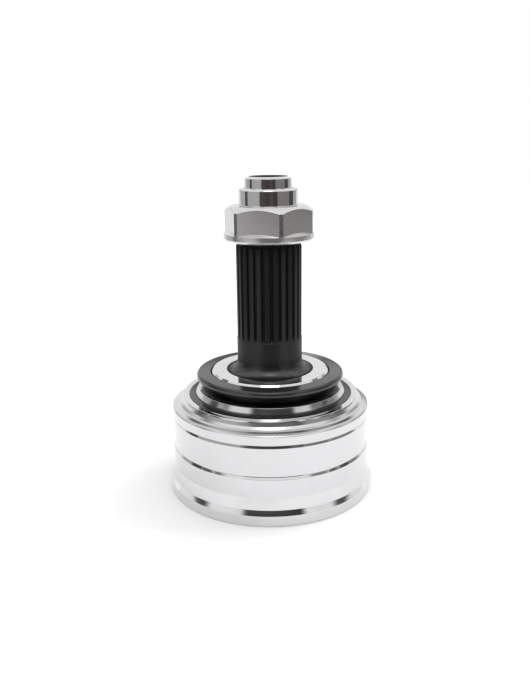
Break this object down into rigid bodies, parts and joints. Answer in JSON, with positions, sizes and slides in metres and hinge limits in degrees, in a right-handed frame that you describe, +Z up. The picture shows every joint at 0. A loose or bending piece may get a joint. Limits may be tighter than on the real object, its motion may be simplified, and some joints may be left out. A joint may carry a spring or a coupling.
{
  "type": "cv joint",
  "caption": "Fixed ball-type constant-velocity joint: grooved steel bell with cage, balls and inner race, splined stub shaft and flanged axle nut.",
  "frame": {"origin": "centre of the bell's mouth rim, on the plane that the joint stands on", "axes": "+Z up along the stub shaft, away from the mouth; the inner race tilts about +X"},
  "size_m": [0.0972, 0.0972, 0.1456],
  "materials": {
    "bright_steel": "turned and polished steel on the bell; black phosphate on the stub shaft",
    "nut_plate": "bright zinc-plated steel",
    "shield_steel": "dark polished steel",
    "black_rubber": "satin moulded rubber",
    "race_steel": "ground hardened steel with a film of grease",
    "ball_steel": "polished bearing steel",
    "spring_steel": "oiled spring steel"
  },
  "bodies": {
    "outer_race": {"outer_race": "bright_steel", "dust_shield": "shield_steel", "dust_lip": "black_rubber", "seal_ring": "black_rubber"},
    "inner_race": {"inner_race": "race_steel", "circlip": "spring_steel"},
    "cage": {"cage": "race_steel"},
    "axle_nut": {"axle_nut": "nut_plate"},
    "ball_1": {"ball_1": "ball_steel"},
    "ball_2": {"ball_2": "ball_steel"},
    "ball_3": {"ball_3": "ball_steel"},
    "ball_4": {"ball_4": "ball_steel"},
    "ball_5": {"ball_5": "ball_steel"},
    "ball_6": {"ball_6": "ball_steel"}
  },
  "joints": [
    {"name": "articulation", "type": "hinge", "parent": "outer_race", "child": "inner_race", "pos_m": [0, 0, 0.0205], "axis": [1, 0, 0], "range_deg": [-45, 45]},
    {"name": "cage_tilt", "type": "hinge", "parent": "outer_race", "child": "cage", "pos_m": [0, 0, 0.0205], "axis": [1, 0, 0], "range_deg": [-23, 23]},
    {"name": "ball_1_travel", "type": "hinge", "parent": "outer_race", "child": "ball_1", "pos_m": [0, 0, 0.0175], "axis": [0.5, -0.866, 0], "range_deg": [-12, 12]},
    {"name": "ball_2_travel", "type": "hinge", "parent": "outer_race", "child": "ball_2", "pos_m": [0, 0, 0.0175], "axis": [1, 0, 0], "range_deg": [-23, 23]},
    {"name": "ball_3_travel", "type": "hinge", "parent": "outer_race", "child": "ball_3", "pos_m": [0, 0, 0.0175], "axis": [0.5, 0.866, 0], "range_deg": [-12, 12]},
    {"name": "ball_4_travel", "type": "hinge", "parent": "outer_race", "child": "ball_4", "pos_m": [0, 0, 0.0175], "axis": [-0.5, 0.866, 0], "range_deg": [-12, 12]},
    {"name": "ball_5_travel", "type": "hinge", "parent": "outer_race", "child": "ball_5", "pos_m": [0, 0, 0.0175], "axis": [-1, 0, 0], "range_deg": [-23, 23]},
    {"name": "ball_6_travel", "type": "hinge", "parent": "outer_race", "child": "ball_6", "pos_m": [0, 0, 0.0175], "axis": [-0.5, -0.866, 0], "range_deg": [-12, 12]},
    {"name": "nut_removal", "type": "slide", "parent": "outer_race", "child": "axle_nut", "axis": [0, 0, 1], "range_m": [0, 0.03]}
  ],
  "couplings": [
    {"joint": "cage_tilt", "follows": "articulation", "ratio": 0.5},
    {"joint": "ball_1_travel", "follows": "articulation", "ratio": 0.2587},
    {"joint": "ball_2_travel", "follows": "articulation", "ratio": 0.5},
    {"joint": "ball_3_travel", "follows": "articulation", "ratio": 0.2587},
    {"joint": "ball_4_travel", "follows": "articulation", "ratio": -0.2587},
    {"joint": "ball_5_travel", "follows": "articulation", "ratio": -0.5},
    {"joint": "ball_6_travel", "follows": "articulation", "ratio": -0.2587}
  ]
}
